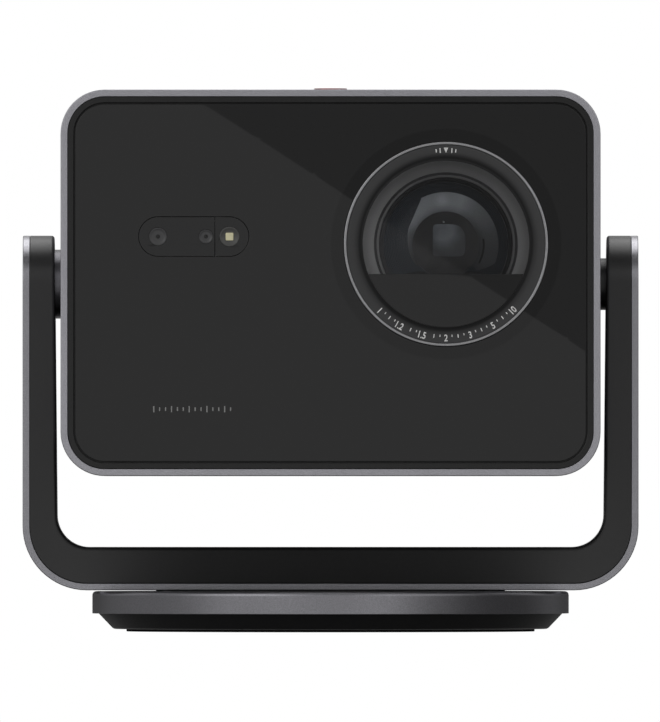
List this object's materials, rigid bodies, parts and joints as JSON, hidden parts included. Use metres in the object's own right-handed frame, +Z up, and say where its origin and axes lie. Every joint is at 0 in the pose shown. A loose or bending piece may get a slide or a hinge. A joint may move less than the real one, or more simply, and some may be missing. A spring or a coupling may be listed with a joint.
{
  "type": "home projector",
  "caption": "Box-shaped home projector whose head tilts in a U-shaped yoke that turns on a round base, with a glass front and a large offset lens.",
  "frame": {"origin": "centre of the round base at the level of the surface that it stands on", "axes": "+Z up, -Y forward along the lens axis, +X to the right as seen from the front"},
  "size_m": [0.2494, 0.1932, 0.2195],
  "materials": {
    "anodised_grey": "bead-blasted, anodised grey, satin",
    "black_moulding": "fine-textured black moulding",
    "black_gloss": "smooth black",
    "front_glass": "black-backed flat glass, polished",
    "clear_glass": "coated optical glass",
    "bright_metal": "turned, bright",
    "steel": "plain machined steel",
    "rubber": "matt black rubber",
    "cast_weight": "raw casting",
    "brass": "machined brass",
    "copper": "drawn copper",
    "bearing_plastic": "natural bearing plastic",
    "lens_black": "matt black, light-absorbing",
    "raw_aluminium": "machined",
    "circuit_green": "circuit board with components",
    "led": "pale yellow LED",
    "red_anodised": "anodised red, satin"
  },
  "bodies": {
    "base": {"foot_ring": "rubber", "base_pan": "black_moulding", "base_shell": "anodised_grey", "base_weight": "cast_weight", "tripod_insert": "brass", "pan_bushing": "bearing_plastic", "thrust_ring": "bearing_plastic", "base_screws": "steel"},
    "yoke": {"turntable": "black_moulding", "turntable_screws": "steel", "pan_shaft": "steel", "pan_nut": "steel", "yoke_frame": "anodised_grey", "yoke_cover": "black_moulding", "yoke_spine": "steel", "left_boss": "bright_metal", "right_boss": "black_moulding", "tilt_bushings": "bearing_plastic"},
    "head": {"trunnions": "steel", "tilt_nuts": "steel", "head_sleeve": "anodised_grey", "front_bezel": "black_moulding", "front_glass": "front_glass", "sensor_window": "front_glass", "camera_module": "lens_black", "range_module": "lens_black", "fill_light": "led", "lens_trim_ring": "bright_metal", "lens_name_ring": "black_gloss", "lens_window": "clear_glass", "lens_mask": "lens_black", "lens_baffle": "lens_black", "lens_barrel": "lens_black", "focus_motor": "steel", "chassis": "raw_aluminium", "light_engine": "raw_aluminium", "laser_module": "raw_aluminium", "dmd_board": "circuit_green", "dmd_heatsink": "raw_aluminium", "heat_pipes": "copper", "fin_stack": "raw_aluminium", "fan_frames": "black_moulding", "main_board": "circuit_green", "speaker_boxes": "black_moulding", "speaker_drivers": "black_moulding", "side_grilles": "black_moulding", "rear_cover": "black_moulding", "rear_grille": "black_moulding", "port_panel": "black_moulding", "data_ports": "steel", "round_ports": "black_gloss", "power_switch": "lens_black"},
    "lens_group": {"lens_carriage": "lens_black", "front_element": "clear_glass", "rear_element": "clear_glass"},
    "focus_ring": {"focus_ring": "raw_aluminium"},
    "focus_pinion": {"focus_pinion": "brass"},
    "left_rotor": {"left_rotor": "black_moulding"},
    "right_rotor": {"right_rotor": "black_moulding"},
    "power_button": {"power_button": "red_anodised"}
  },
  "joints": [
    {"name": "pan", "type": "hinge", "parent": "base", "child": "yoke", "pos_m": [0, 0, 0.0163], "axis": [0, 0, 1], "continuous": true},
    {"name": "tilt", "type": "hinge", "parent": "yoke", "child": "head", "pos_m": [0, 0, 0.1408], "axis": [-1, 0, 0], "range_deg": [-15, 120]},
    {"name": "focus_turn", "type": "hinge", "parent": "head", "child": "focus_ring", "pos_m": [0.0465, -0.046, 0.1564], "axis": [0, -1, 0], "range_deg": [-29, 29]},
    {"name": "focus_slide", "type": "slide", "parent": "head", "child": "lens_group", "axis": [0, -1, 0], "range_m": [-0.0015, 0.0015]},
    {"name": "pinion_turn", "type": "hinge", "parent": "head", "child": "focus_pinion", "pos_m": [0.0167, -0.043, 0.1266], "axis": [0, -1, 0], "range_deg": [-145, 145]},
    {"name": "left_fan", "type": "hinge", "parent": "head", "child": "left_rotor", "pos_m": [-0.034, 0.0625, 0.1548], "axis": [0, 1, 0], "continuous": true},
    {"name": "right_fan", "type": "hinge", "parent": "head", "child": "right_rotor", "pos_m": [0.034, 0.0625, 0.1548], "axis": [0, 1, 0], "continuous": true},
    {"name": "power_button_press", "type": "slide", "parent": "head", "child": "power_button", "axis": [0, 0, -1], "range_m": [0, 0.0005], "stiffness_N_per_m": 3000, "springref_m": -0.0002}
  ],
  "couplings": [
    {"joint": "focus_turn", "follows": "focus_slide", "rad_per_m": 333.33},
    {"joint": "pinion_turn", "follows": "focus_slide", "rad_per_m": -1666.7}
  ]
}
